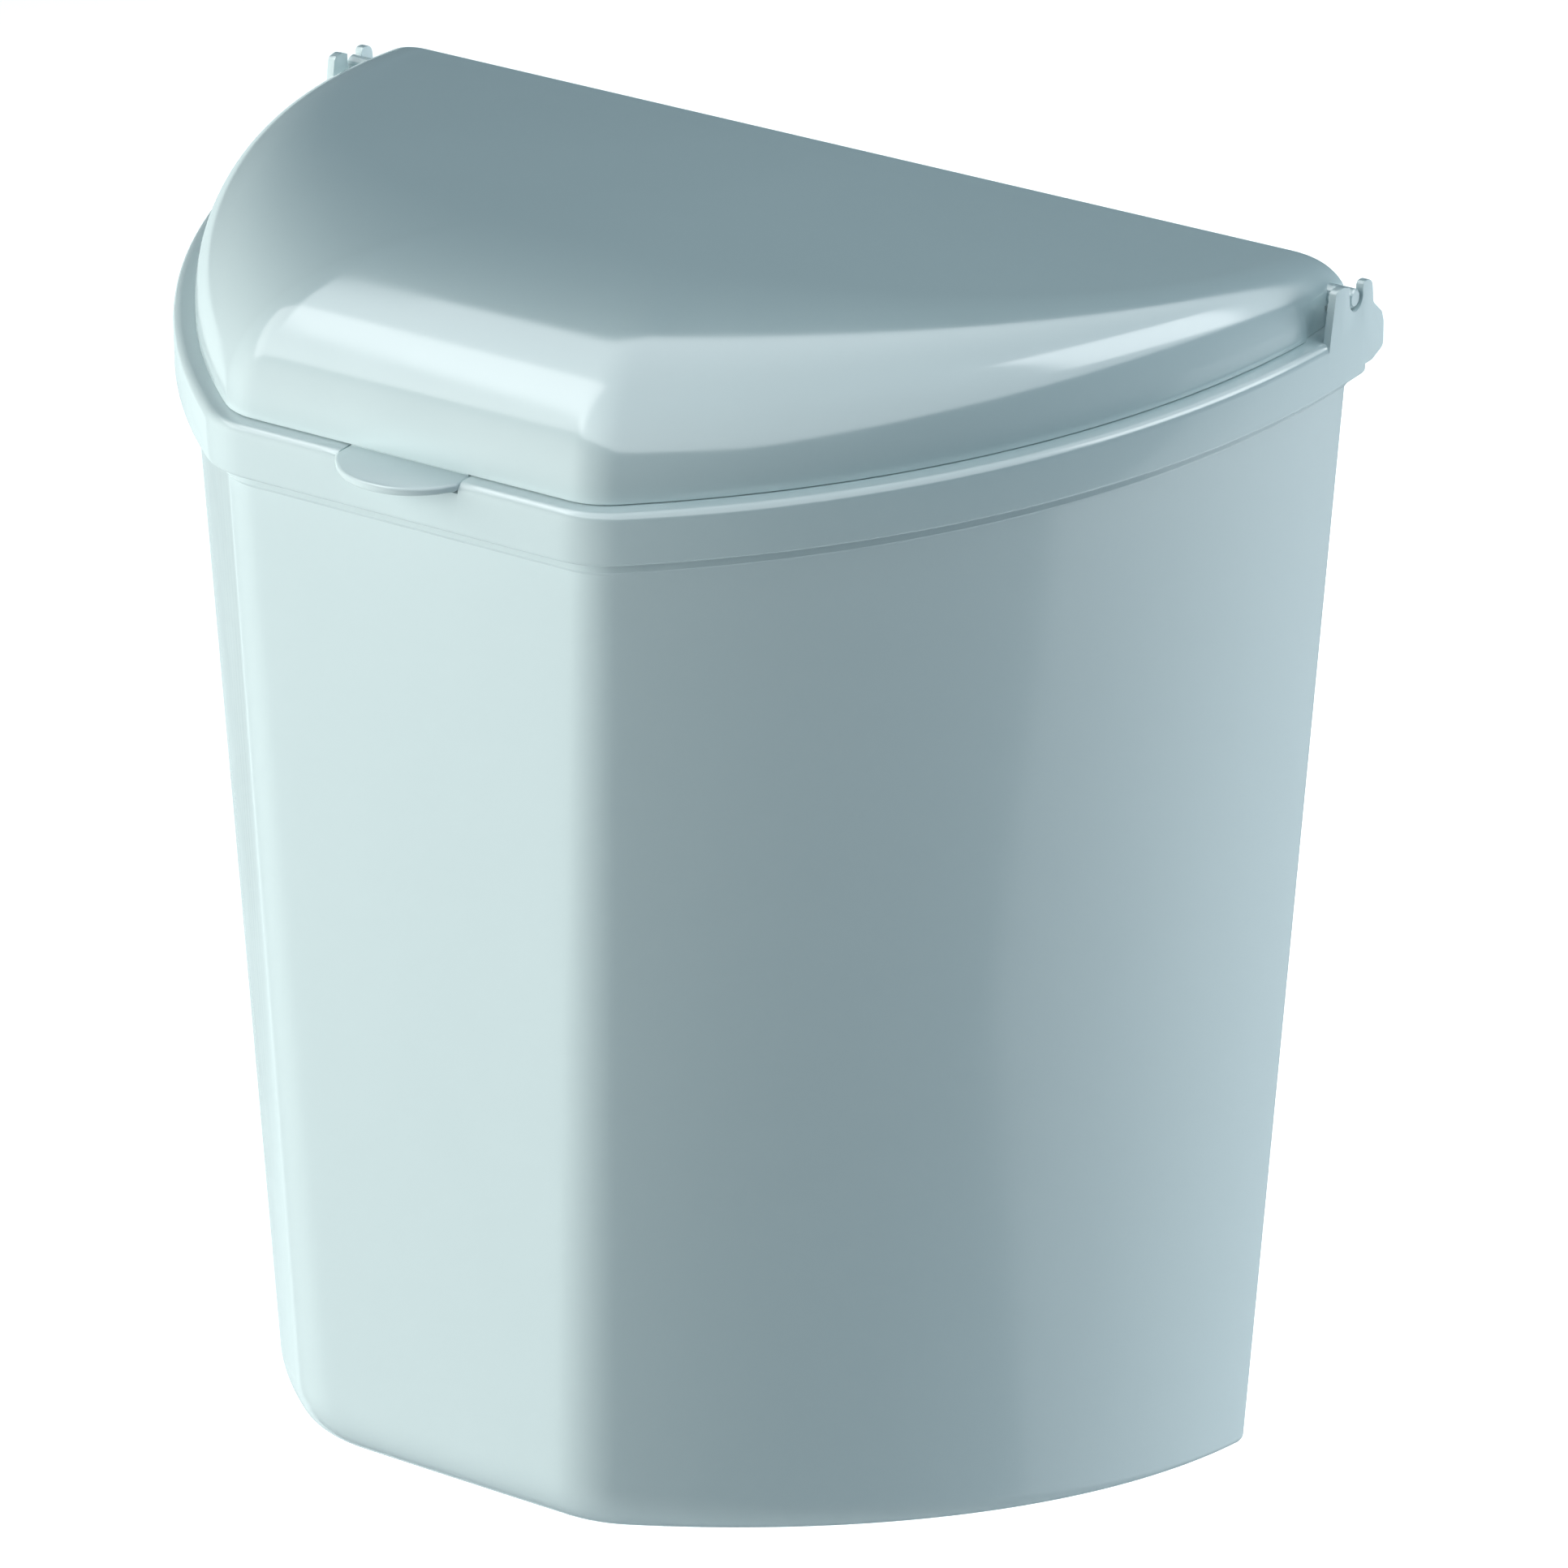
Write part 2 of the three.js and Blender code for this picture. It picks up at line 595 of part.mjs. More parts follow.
// Pan-head screw with a cross recess. The shank ends at the wall's face.
function buildScrew(x) {
  const headBack = RAIL_POCKET_BACK_Y - 0.3;
  const headFront = headBack - SCREW_HEAD_LENGTH;
  const body = latheAlongY([
    [0, headFront],
    [SCREW_HEAD_RADIUS - 1, headFront],
    [SCREW_HEAD_RADIUS, headFront + 0.8],
    [SCREW_HEAD_RADIUS, headBack],
    [SCREW_RADIUS, headBack],
    [SCREW_RADIUS, STANDOFF - 0.3],
    [0, STANDOFF - 0.3],
  ], 20);
  const bars = [
    boxBetween([-2, headFront - 1, -0.4], [2, headFront + 1, 0.4]),
    boxBetween([-0.4, headFront - 1, -2], [0.4, headFront + 1, 2]),
  ];
  const screw = bars.reduce((solid, bar) => solid.subtract(toSolid(bar)), toSolid(body));
  return toGeometry(screw).translate(x, 0, SCREW_Z);
}

// ---- assembly ----------------------------------------------------------------------------

// The group's local frame has its plane y = 0 at the bin's back and z = 0 at the rim's top.
const bin = new THREE.Group();
bin.position.set(0, -STANDOFF, -SCREW_Z);

function addPiece(name, geometry, material) {
  const mesh = new THREE.Mesh(geometry, material.clone());
  mesh.name = name;
  bin.add(mesh);
  return mesh;
}

addPiece("wall_rail", buildRail(), MATERIALS.rail);
SCREW_XS.forEach((x, i) => addPiece(`rail_screw_${i + 1}`, buildScrew(x), MATERIALS.steel));
addPiece("rim_collar", buildCollar(), MATERIALS.plastic);
addPiece("tub", buildTub(), MATERIALS.plastic);
addPiece("lid", buildLid(), MATERIALS.plastic);
const pin = buildPin();
addPiece("hinge_pin_right", pin, MATERIALS.plastic);
addPiece("hinge_pin_left", mirrorX(pin), MATERIALS.plastic);
for (const [label, side] of [["left", -1], ["right", 1]]) {
  const spacer = addPiece(`wall_spacer_${label}`, buildSpacer(), MATERIALS.rubber);
  spacer.position.set(side * SPACER_X, 0, SPACER_Z);
}

const object = new THREE.Group();
object.add(bin);

export default object;
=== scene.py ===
"""Looks of a wall-hung plastic waste bin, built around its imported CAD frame.

The tub, rim collar and lid are rebuilt as fine moulded pieces in the places of their CAD nodes.
The wall rail, screws, hinge pins and spacers stay and get materials and soft edges. Lengths are in
millimetres where a name ends in _MM and in metres elsewhere. The bin's own plan starts at its back
plane, and its heights at the top of the collar's ledge.
"""

import math

import bmesh
import bpy
from mathutils import Matrix, Quaternion, Vector


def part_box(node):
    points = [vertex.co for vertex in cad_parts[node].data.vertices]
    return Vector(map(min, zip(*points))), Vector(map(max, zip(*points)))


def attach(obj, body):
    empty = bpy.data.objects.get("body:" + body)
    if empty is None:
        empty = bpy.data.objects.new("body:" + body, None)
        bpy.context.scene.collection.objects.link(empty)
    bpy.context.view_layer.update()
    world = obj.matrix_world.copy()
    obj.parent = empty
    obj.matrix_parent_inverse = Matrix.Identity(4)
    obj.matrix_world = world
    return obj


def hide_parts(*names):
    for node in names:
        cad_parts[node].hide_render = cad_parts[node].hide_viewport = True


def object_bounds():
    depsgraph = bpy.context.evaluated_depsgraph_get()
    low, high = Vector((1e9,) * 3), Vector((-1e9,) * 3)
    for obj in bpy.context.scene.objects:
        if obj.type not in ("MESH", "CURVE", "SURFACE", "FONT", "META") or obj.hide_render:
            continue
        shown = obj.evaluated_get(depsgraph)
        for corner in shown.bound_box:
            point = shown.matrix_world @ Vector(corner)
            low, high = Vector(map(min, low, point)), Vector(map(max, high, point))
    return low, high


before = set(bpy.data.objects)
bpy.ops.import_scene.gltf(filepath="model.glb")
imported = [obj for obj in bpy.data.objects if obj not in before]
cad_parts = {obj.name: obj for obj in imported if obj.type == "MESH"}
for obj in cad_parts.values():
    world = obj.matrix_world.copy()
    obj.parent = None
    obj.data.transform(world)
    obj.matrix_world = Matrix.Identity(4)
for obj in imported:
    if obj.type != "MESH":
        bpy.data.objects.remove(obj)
CAD_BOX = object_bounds()

MM = 0.001
COLLAR_LOW, COLLAR_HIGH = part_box("rim_collar")
LID_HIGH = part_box("lid")[1]

# Places of the bin's own plan and ledge in the frame
INNER_SKIRT_DEPTH_MM = 14
LID_BACK_GAP_MM = 0.5
BACK_Y = LID_HIGH[1] + LID_BACK_GAP_MM * MM
LEDGE_Z = COLLAR_LOW[2] + INNER_SKIRT_DEPTH_MM * MM
HALF_WIDTH_MM = COLLAR_HIGH[0] / MM
DEPTH_MM = 180

# Plan
FACET_HALF_WIDTH_MM = 48
FACET_CORNER_SHIFT = 0.348
FRONT_CORNER_RADIUS_MM = 20
BACK_CORNER_RADIUS_MM = 3
LEAST_FRONT_RADIUS_MM = 1.5
LEAST_BACK_RADIUS_MM = 1

# Curve resolution
SIDE_STEPS = 60
CORNER_STEPS = 12
BACK_STEPS = 40
FACET_STEPS = 16
LIP_STEPS = 8

# Rounding and shading of edges, in millimetres and degrees
MOULDED_EDGE_MM = 0.3
CAD_EDGE_MM = 0.15
SHARP_ANGLE = 35
COLLAR_SHARP_ANGLE = 30


# ---- geometry helpers --------------------------------------------------------------------

def place(x, y, z):
    """A point given in the bin's own millimetres, in the frame."""
    return Vector((x * MM, BACK_Y + y * MM, LEDGE_Z + z * MM))


def arc(centre, radius, start, end, steps):
    """Points of an arc, both ends included; angles in radians."""
    angles = [start + (end - start) * i / steps for i in range(steps + 1)]
    return [(centre[0] + radius * math.cos(a), centre[1] + radius * math.sin(a)) for a in angles]


def straight(start, end, steps):
    """Points between two ends, the ends left out."""
    return [
        (start[0] + (end[0] - start[0]) * i / steps, start[1] + (end[1] - start[1]) * i / steps)
        for i in range(1, steps)
    ]


def plan_outline(half_width, depth, back, facet, front_radius, back_radius):
    """Half-round outline: straight back, side arcs square to it, and a flat front facet."""
    centre_y = -back - back_radius
    span = half_width - facet
    side_radius = ((depth + centre_y) ** 2 + span**2) / (2 * span)
    side_x = half_width - side_radius
    corner_y = -depth + front_radius
    reach = side_radius - front_radius
    corner_x = side_x + math.sqrt(reach**2 - (corner_y - centre_y) ** 2)
    meet = math.asin((corner_y - centre_y) / reach)
    right = arc((corner_x, corner_y), front_radius, -math.pi / 2, meet, CORNER_STEPS)
    right += arc((side_x, centre_y), side_radius, meet, 0, SIDE_STEPS)[1:]
    right += arc((half_width - back_radius, centre_y), back_radius, 0, math.pi / 2, CORNER_STEPS)[1:]
    left = [(-x, y) for x, y in reversed(right)]
    return (
        right
        + straight(right[-1], left[0], BACK_STEPS)
        + left
        + straight(left[-1], right[0], FACET_STEPS)
    )


def bin_outline(inset, back=None):
    """The bin's outline moved inwards by inset."""
    return plan_outline(
        HALF_WIDTH_MM - inset,
        DEPTH_MM - inset,
        inset if back is None else back,
        FACET_HALF_WIDTH_MM - FACET_CORNER_SHIFT * inset,
        max(FRONT_CORNER_RADIUS_MM - inset, LEAST_FRONT_RADIUS_MM),
        max(BACK_CORNER_RADIUS_MM - inset, LEAST_BACK_RADIUS_MM),
    )


def rounded(corners, steps=4):
    """A closed outline whose corners (x, y, radius) are turned into arcs."""
    points = []
    count = len(corners)
    for i, (x, y, radius) in enumerate(corners):
        here = Vector((x, y))
        before = (Vector(corners[i - 1][:2]) - here).normalized()
        after = (Vector(corners[(i + 1) % count][:2]) - here).normalized()
        if radius == 0:
            points.append((x, y))
            continue
        half = before.angle(after) / 2
        centre = here + (before + after).normalized() * radius / math.sin(half)
        start = here + before * radius / math.tan(half) - centre
        end = here + after * radius / math.tan(half) - centre
        turn = start.angle_signed(end)
        for step in range(steps + 1):
            swing = Matrix.Rotation(-turn * step / steps, 2)
            points.append(tuple(centre + swing @ start))
    return points


def ring(outline, z):
    """An outline placed at one height of the bin."""
    return [place(x, y, z) for x, y in outline]


def skin(mesh, rings, closed_loop=False):
    """Adds a stack of rings to a bmesh, capped at both ends unless it is a closed loop."""
    rows = [[mesh.verts.new(point) for point in points] for points in rings]
    pairs = list(zip(rows, rows[1:]))
    if closed_loop:
        pairs.append((rows[-1], rows[0]))
    for lower, upper in pairs:
        for i in range(len(lower)):
            j = (i + 1) % len(lower)
            mesh.faces.new((lower[i], lower[j], upper[j], upper[i]))
    if not closed_loop:
        mesh.faces.new(list(reversed(rows[0])))
        mesh.faces.new(rows[-1])


def extrude_outline(mesh, outline, to_low, to_high):
    """Adds a prism: the outline placed by to_low(u, v) at one end and to_high(u, v) at the other."""
    skin(mesh, [[to_low(u, v) for u, v in outline], [to_high(u, v) for u, v in outline]])


def add_block(mesh, low, high):
    """Adds a block between two corners given in the bin's own millimetres."""
    corners = [(low[0], low[1]), (high[0], low[1]), (high[0], high[1]), (low[0], high[1])]
    skin(mesh, [ring(corners, low[2]), ring(corners, high[2])])


def piece_from(name, mesh, sharp_angle=SHARP_ANGLE):
    """Turns a bmesh into a smooth-shaded object with its sharp edges kept."""
    bmesh.ops.recalc_face_normals(mesh, faces=mesh.faces)
    data = bpy.data.meshes.new(name)
    mesh.to_mesh(data)
    mesh.free()
    data.shade_smooth()
    data.set_sharp_from_angle(angle=math.radians(sharp_angle))
    piece = bpy.data.objects.new(name, data)
    bpy.context.collection.objects.link(piece)
    return piece


def block_piece(name, low, high):
    """A block of its own between two corners given in the bin's own millimetres."""
    mesh = bmesh.new()
    add_block(mesh, low, high)
    return piece_from(name, mesh)


def combine(piece, others, operation):
    """Cuts, trims or fuses a piece with other objects for good and removes those objects."""
    for other in others:
        modifier = piece.modifiers.new("combine", "BOOLEAN")
        modifier.operation = operation
        modifier.solver = "EXACT"
        modifier.object = other
    settle(piece)
    for other in others:
        bpy.data.objects.remove(other, do_unlink=True)


def settle(piece):
    """Applies a piece's modifiers to its mesh."""
    graph = bpy.context.evaluated_depsgraph_get()
    data = bpy.data.meshes.new_from_object(piece.evaluated_get(graph))
    piece.modifiers.clear()
    piece.data = data


def soften(piece, width_mm, segments=3, angle=40):
    """Rounds a piece's sharp edges."""
    bevel = piece.modifiers.new("edges", "BEVEL")
    bevel.width = width_mm * MM
    bevel.segments = segments
    bevel.limit_method = "ANGLE"
    bevel.angle_limit = math.radians(angle)
    bevel.use_clamp_overlap = True


def join(piece, extras):
    """Joins extra pieces into the first one."""
    with bpy.context.temp_override(active_object=piece, selected_editable_objects=[piece, *extras]):
        bpy.ops.object.join()


# ---- materials ---------------------------------------------------------------------------

def new_material(name):
    """A new material with one Principled shader."""
    material = bpy.data.materials.new(name)
    material.use_nodes = True
    nodes = material.node_tree.nodes
    nodes.clear()
    output = nodes.new("ShaderNodeOutputMaterial")
    shader = nodes.new("ShaderNodeBsdfPrincipled")
    material.node_tree.links.new(shader.outputs["BSDF"], output.inputs["Surface"])
    return material, shader


def noise(material, scale, detail=2.0, stretch=(1, 1, 1)):
    """A noise pattern on the object's own coordinates; scale is features per metre."""
    nodes, links = material.node_tree.nodes, material.node_tree.links
    coordinates = nodes.new("ShaderNodeTexCoord")
    mapping = nodes.new("ShaderNodeMapping")
    mapping.inputs["Scale"].default_value = stretch
    texture = nodes.new("ShaderNodeTexNoise")
    texture.inputs["Scale"].default_value = scale
    texture.inputs["Detail"].default_value = detail
    links.new(coordinates.outputs["Object"], mapping.inputs["Vector"])
    links.new(mapping.outputs["Vector"], texture.inputs["Vector"])
    return texture.outputs["Fac"]


def ramp(material, source, low, high, start=0.3, end=0.7):
    """Maps a pattern between two colours."""
    node = material.node_tree.nodes.new("ShaderNodeValToRGB")
    node.color_ramp.elements[0].position = start
    node.color_ramp.elements[0].color = (*low, 1)
    node.color_ramp.elements[1].position = end
    node.color_ramp.elements[1].color = (*high, 1)
    material.node_tree.links.new(source, node.inputs["Fac"])
    return node.outputs["Color"]


def spread(material, source, low, high):
    """Maps a pattern between two numbers."""
    node = material.node_tree.nodes.new("ShaderNodeMapRange")
    node.inputs["From Min"].default_value = 0.3
    node.inputs["From Max"].default_value = 0.7
    node.inputs["To Min"].default_value = low
    node.inputs["To Max"].default_value = high
    material.node_tree.links.new(source, node.inputs["Value"])
    return node.outputs["Result"]


def bump(material, shader, sources):
    """Stacks bumps on a shader; each source is (pattern, strength, height in metres)."""
    nodes, links = material.node_tree.nodes, material.node_tree.links
    previous = None
    for pattern, strength, height in sources:
        node = nodes.new("ShaderNodeBump")
        node.inputs["Strength"].default_value = strength
        node.inputs["Distance"].default_value = height
        links.new(pattern, node.inputs["Height"])
        if previous is not None:
            links.new(previous, node.inputs["Normal"])
        previous = node.outputs["Normal"]
    links.new(previous, shader.inputs["Normal"])


def moulded_plastic(name, pale, deep, gloss_low, gloss_high):
    """Satin moulded plastic: faint flow marks, polish changes, slight waves and a fine grain."""
    material, shader = new_material(name)
    links = material.node_tree.links
    flow = noise(material, 9, detail=3, stretch=(1, 1, 0.35))
    links.new(ramp(material, flow, deep, pale), shader.inputs["Base Color"])
    polish = noise(material, 55, detail=4, stretch=(1, 1, 0.6))
    links.new(spread(material, polish, gloss_low, gloss_high), shader.inputs["Roughness"])
    shader.inputs["IOR"].default_value = 1.5
    shader.inputs["Specular IOR Level"].default_value = 0.9
    waviness = noise(material, 30, detail=1)
    grain = noise(material, 2400, detail=1)
    bump(material, shader, [(waviness, 0.1, 0.0001), (grain, 0.05, 0.00001)])
    return material


def moulded_rubber(name):
    """Dark matt rubber with a fine grain and a dusty bloom."""
    material, shader = new_material(name)
    bloom = noise(material, 120, detail=5)
    colour = ramp(material, bloom, (0.030, 0.034, 0.036), (0.062, 0.068, 0.070))
    material.node_tree.links.new(colour, shader.inputs["Base Color"])
    material.node_tree.links.new(spread(material, bloom, 0.62, 0.82), shader.inputs["Roughness"])
    bump(material, shader, [(noise(material, 2600, detail=2), 0.3, 0.00006)])
    return material


def plated_steel(name):
    """Zinc-plated steel with a slight blue-grey mottle and a fine grain."""
    material, shader = new_material(name)
    mottle = noise(material, 400, detail=4)
    colour = ramp(material, mottle, (0.50, 0.51, 0.53), (0.66, 0.67, 0.68))
    material.node_tree.links.new(colour, shader.inputs["Base Color"])
    material.node_tree.links.new(spread(material, mottle, 0.24, 0.42), shader.inputs["Roughness"])
    shader.inputs["Metallic"].default_value = 1.0
    bump(material, shader, [(noise(material, 3500, detail=1), 0.12, 0.00004)])
    return material


def give(piece, material):
    """Makes a material the piece's only one."""
    piece.data.materials.clear()
    piece.data.materials.append(material)


# ---- tub ---------------------------------------------------------------------------------

TUB_WALL_MM = 2.2
TUB_FLOOR_MM = 2.6
TUB_TOP_MM = -3
TUB_INSET_MM = 4.5
TUB_BAND_INSET_MM = 3.9
TUB_BAND_BOTTOM_MM = -15
TUB_BAND_STEP_MM = 0.8
TUB_BAND_INNER_STEP_MM = 1
TUB_LIP_RADIUS_MM = 1.4
TUB_BACK_GAP_MM = 2.6
TUB_DEPTH_MM = 288.5
BASE_SLOPE = 0.194
BASE_SIDE_DRAFT_MM = 18.3
BASE_FRONT_DRAFT_MM = 2.5
BASE_BACK_DRAFT_MM = 3
BASE_FACET_HALF_WIDTH_MM = 37.8
BASE_CORNER_RADIUS_MM = 20
BASE_BACK_RADIUS_MM = 3.6
BASE_FILLET_FRONT_MM = 15.5
BASE_FILLET_BACK_MM = 3
FLAT_BASE_BACK_RADIUS_MM = 1
FILLET_STEPS = 20


def wall_foot(inset):
    """Outline of the tub's wall where it meets the rounded base edge."""
    return plan_outline(
        HALF_WIDTH_MM - TUB_INSET_MM - BASE_SIDE_DRAFT_MM - inset,
        DEPTH_MM - TUB_INSET_MM - BASE_FRONT_DRAFT_MM - inset,
        TUB_BACK_GAP_MM + BASE_BACK_DRAFT_MM + inset,
        BASE_FACET_HALF_WIDTH_MM - FACET_CORNER_SHIFT * inset,
        BASE_CORNER_RADIUS_MM - inset,
        BASE_BACK_RADIUS_MM - inset,
    )


def flat_base():
    """Outline of the flat part of the base, inside its rounded edge."""
    return plan_outline(
        HALF_WIDTH_MM - TUB_INSET_MM - BASE_SIDE_DRAFT_MM - BASE_FILLET_BACK_MM,
        DEPTH_MM - TUB_INSET_MM - BASE_FRONT_DRAFT_MM - BASE_FILLET_FRONT_MM,
        TUB_BACK_GAP_MM + BASE_BACK_DRAFT_MM + BASE_FILLET_BACK_MM,
        BASE_FACET_HALF_WIDTH_MM - FACET_CORNER_SHIFT * BASE_FILLET_FRONT_MM,
        BASE_CORNER_RADIUS_MM,
        FLAT_BASE_BACK_RADIUS_MM,
    )


def base_rings(inset, floor_lift):
    """Rings of the rounded base edge, from the wall's foot inwards."""
    foot, flat = wall_foot(inset), flat_base()
    rings = []
    for step in range(FILLET_STEPS + 1):
        angle = math.pi / 2 * step / FILLET_STEPS
        points = []
        for (foot_x, foot_y), (flat_x, flat_y) in zip(foot, flat):
            radius = math.hypot(flat_x - foot_x, flat_y - foot_y)
            share = 1 - math.cos(angle)
            x = foot_x + (flat_x - foot_x) * share
            y = foot_y + (flat_y - foot_y) * share
            floor_z = -TUB_DEPTH_MM + floor_lift - BASE_SLOPE * y
            points.append(place(x, y, floor_z + radius * (1 - math.sin(angle))))
        rings.append(points)
    return rings


def tub_rings():
    """The tub's skin from the middle of its base, up the outside, over the rim and down inside."""
    gap = TUB_BACK_GAP_MM
    step_top = ring(bin_outline(TUB_BAND_INSET_MM, gap), TUB_BAND_BOTTOM_MM)
    step_foot = ring(bin_outline(TUB_INSET_MM, gap), TUB_BAND_BOTTOM_MM - TUB_BAND_STEP_MM)
    outside = list(reversed(base_rings(0, 0))) + [step_foot, step_top]
    middle = TUB_BAND_INSET_MM + TUB_LIP_RADIUS_MM
    lip = []
    for i in range(LIP_STEPS + 1):
        angle = math.pi * i / LIP_STEPS
        inset = middle - TUB_LIP_RADIUS_MM * math.cos(angle)
        back = gap + inset - TUB_BAND_INSET_MM
        height = TUB_TOP_MM - TUB_LIP_RADIUS_MM * (1 - math.sin(angle))
        lip.append(ring(bin_outline(inset, back), height))
    inner_outline = bin_outline(TUB_INSET_MM + TUB_WALL_MM, gap + TUB_WALL_MM)
    inner = ring(inner_outline, TUB_BAND_BOTTOM_MM - TUB_BAND_INNER_STEP_MM)
    return outside + lip + [inner] + base_rings(TUB_WALL_MM, TUB_FLOOR_MM)


def build_tub(plastic):
    """The tapered tub with its flat facet and rounded base."""
    mesh = bmesh.new()
    skin(mesh, tub_rings())
    tub = piece_from("tub_shell", mesh)
    give(tub, plastic)
    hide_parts("tub")
    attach(tub, "tub")


# ---- rim collar --------------------------------------------------------------------------

COLLAR_HEIGHT_MM = 12
COLLAR_WALL_MM = 2.2
MOUTH_INSET_MM = 11.6
UPSTAND_WIDTH_MM = 2
UPSTAND_HEIGHT_MM = 2
INNER_SKIRT_WALL_MM = 1.8
CHANNEL_ROOF_MM = -2.5
HINGE_Z_MM = 7.1
EAR_THICKNESS_MM = 1.8
EAR_FOOT_MM = -2.5
EAR_BLANK_IN_MM = 8
EAR_BLANK_OUT_MM = 1
EAR_BAND_LOW_MM = -12
EAR_BAND_HIGH_MM = 18
EAR_BAND_START_MM = 10
CHEEK_BACK_MM = 5.8
SLOT_Y_MM = -6.65
SLOT_RADIUS_MM = 2.8
TAB_NOTCH_DEPTH_MM = 2.3
TAB_NOTCH_GAP_MM = 0.05
TAB_NOTCH_REACH_MM = 8
STUD_SPACING_MM = 85
STUD_STEM_HALF_WIDTH_MM = 6
STUD_HEAD_HALF_WIDTH_MM = 10
STUD_STEM_BOTTOM_MM = -6
STUD_HEAD_BOTTOM_MM = -8.6
STUD_TOP_MM = -1.5
STUD_STEM_BACK_MM = 3.4
STUD_HEAD_FRONT_MM = 3.3
STUD_HEAD_BACK_MM = 4.7


def collar_section():
    """Section of the collar as (inset, height): skirt, ledge, upstand, inner skirt, channel."""
    return rounded([
        (COLLAR_WALL_MM, -COLLAR_HEIGHT_MM, 0.3),
        (0, -COLLAR_HEIGHT_MM, 0.9),
        (0, 0, 2),
        (MOUTH_INSET_MM - UPSTAND_WIDTH_MM, 0, 0.5),
        (MOUTH_INSET_MM - UPSTAND_WIDTH_MM, UPSTAND_HEIGHT_MM, 0.5),
        (MOUTH_INSET_MM, UPSTAND_HEIGHT_MM, 0.7),
        (MOUTH_INSET_MM, -INNER_SKIRT_DEPTH_MM, 0.4),
        (MOUTH_INSET_MM - INNER_SKIRT_WALL_MM, -INNER_SKIRT_DEPTH_MM, 0.4),
        (MOUTH_INSET_MM - INNER_SKIRT_WALL_MM, CHANNEL_ROOF_MM, 0.3),
        (COLLAR_WALL_MM, CHANNEL_ROOF_MM, 0.3),
    ])


def ear_outline():
    """Side view of an ear and its cheek as (y, z): front prong, pin slot, rear prong, cheek."""
    slot_front = SLOT_Y_MM - SLOT_RADIUS_MM
    slot_rear = SLOT_Y_MM + SLOT_RADIUS_MM
    front = rounded([
        (-17.6, EAR_FOOT_MM, 0),
        (-15.1, 11.5, 1.3),
        (-12, 11.75, 3),
        (slot_front + 0.1, 10.7, 0.5),
    ])
    slot = arc((SLOT_Y_MM, HINGE_Z_MM), SLOT_RADIUS_MM, math.pi, 2 * math.pi, 16)
    rear = rounded([
        (slot_rear - 0.1, 10.2, 1.1),
        (0.2, 9.9, 2.4),
        (0.7, 6.4, 2),
        (0.9, 3.9, 2),
        (4.9, 0.3, 2),
        (CHEEK_BACK_MM, -2.2, 1.5),
        (CHEEK_BACK_MM, -8.1, 1.5),
        (1, -9.8, 0),
        (-3, -9.8, 0),
        (-3, EAR_FOOT_MM, 0),
    ])
    return front + slot + rear


def ear_band_outline():
    """The bin's side outline as a thin band, carried straight back over the rail's end."""
    start_x = FACET_HALF_WIDTH_MM + EAR_BAND_START_MM
    side = [point for point in bin_outline(0) if point[0] > start_x]
    side = [point for point in side if point[1] < -BACK_CORNER_RADIUS_MM + 0.01]
    side.append((HALF_WIDTH_MM, CHEEK_BACK_MM + 1))
    return side + [(x - EAR_THICKNESS_MM, y) for x, y in reversed(side)]


def build_ear(side):
    """One hinge ear and its cheek: the side view cut out of the bin's own side band."""
    profile = bmesh.new()
    extrude_outline(
        profile,
        ear_outline(),
        lambda y, z: place(side * (HALF_WIDTH_MM - EAR_BLANK_IN_MM), y, z),
        lambda y, z: place(side * (HALF_WIDTH_MM + EAR_BLANK_OUT_MM), y, z),
    )
    band = bmesh.new()
    outline = [(side * x, y) for x, y in ear_band_outline()]
    skin(band, [ring(outline, EAR_BAND_LOW_MM), ring(outline, EAR_BAND_HIGH_MM)])
    ear = piece_from("ear", profile)
    combine(ear, [piece_from("ear_band", band)], "INTERSECT")
    return ear


def build_stud(centre_x):
    """T-shaped stud on the collar's back that drops into the wall rail."""
    stem_half, head_half = STUD_STEM_HALF_WIDTH_MM, STUD_HEAD_HALF_WIDTH_MM
    stem = block_piece(
        "stud_stem",
        (centre_x - stem_half, -1, STUD_STEM_BOTTOM_MM),
        (centre_x + stem_half, STUD_STEM_BACK_MM, STUD_TOP_MM),
    )
    head = block_piece(
        "stud_head",
        (centre_x - head_half, STUD_HEAD_FRONT_MM, STUD_HEAD_BOTTOM_MM),
        (centre_x + head_half, STUD_HEAD_BACK_MM, STUD_TOP_MM),
    )
    for part in (stem, head):
        soften(part, MOULDED_EDGE_MM)
        settle(part)
    join(stem, [head])
    return stem


def tab_notch_cutter():
    """Recess in the rim's front edge that the finger tab lies in."""
    half = TAB_HALF_WIDTH_MM + TAB_NOTCH_GAP_MM
    low = (-half, -DEPTH_MM - 1, -TAB_NOTCH_DEPTH_MM)
    high = (half, -DEPTH_MM + TAB_NOTCH_REACH_MM, 1)
    return block_piece("notch", low, high)


def build_collar(plastic):
    """The rim collar with its tab notch, hinge ears and hanging studs."""
    mesh = bmesh.new()
    skin(mesh, [ring(bin_outline(inset), z) for inset, z in collar_section()], closed_loop=True)
    collar = piece_from("rim_collar_shell", mesh)
    combine(collar, [tab_notch_cutter()], "DIFFERENCE")
    for side in (-1, 1):
        combine(collar, [build_ear(side)], "UNION")
    soften(collar, MOULDED_EDGE_MM, angle=SHARP_ANGLE)
    settle(collar)
    join(collar, [build_stud(x) for x in (-STUD_SPACING_MM, 0, STUD_SPACING_MM)])
    collar.data.set_sharp_from_angle(angle=math.radians(COLLAR_SHARP_ANGLE))
    give(collar, plastic)
    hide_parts("rim_collar")
    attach(collar, "collar")


# ---- lid ---------------------------------------------------------------------------------

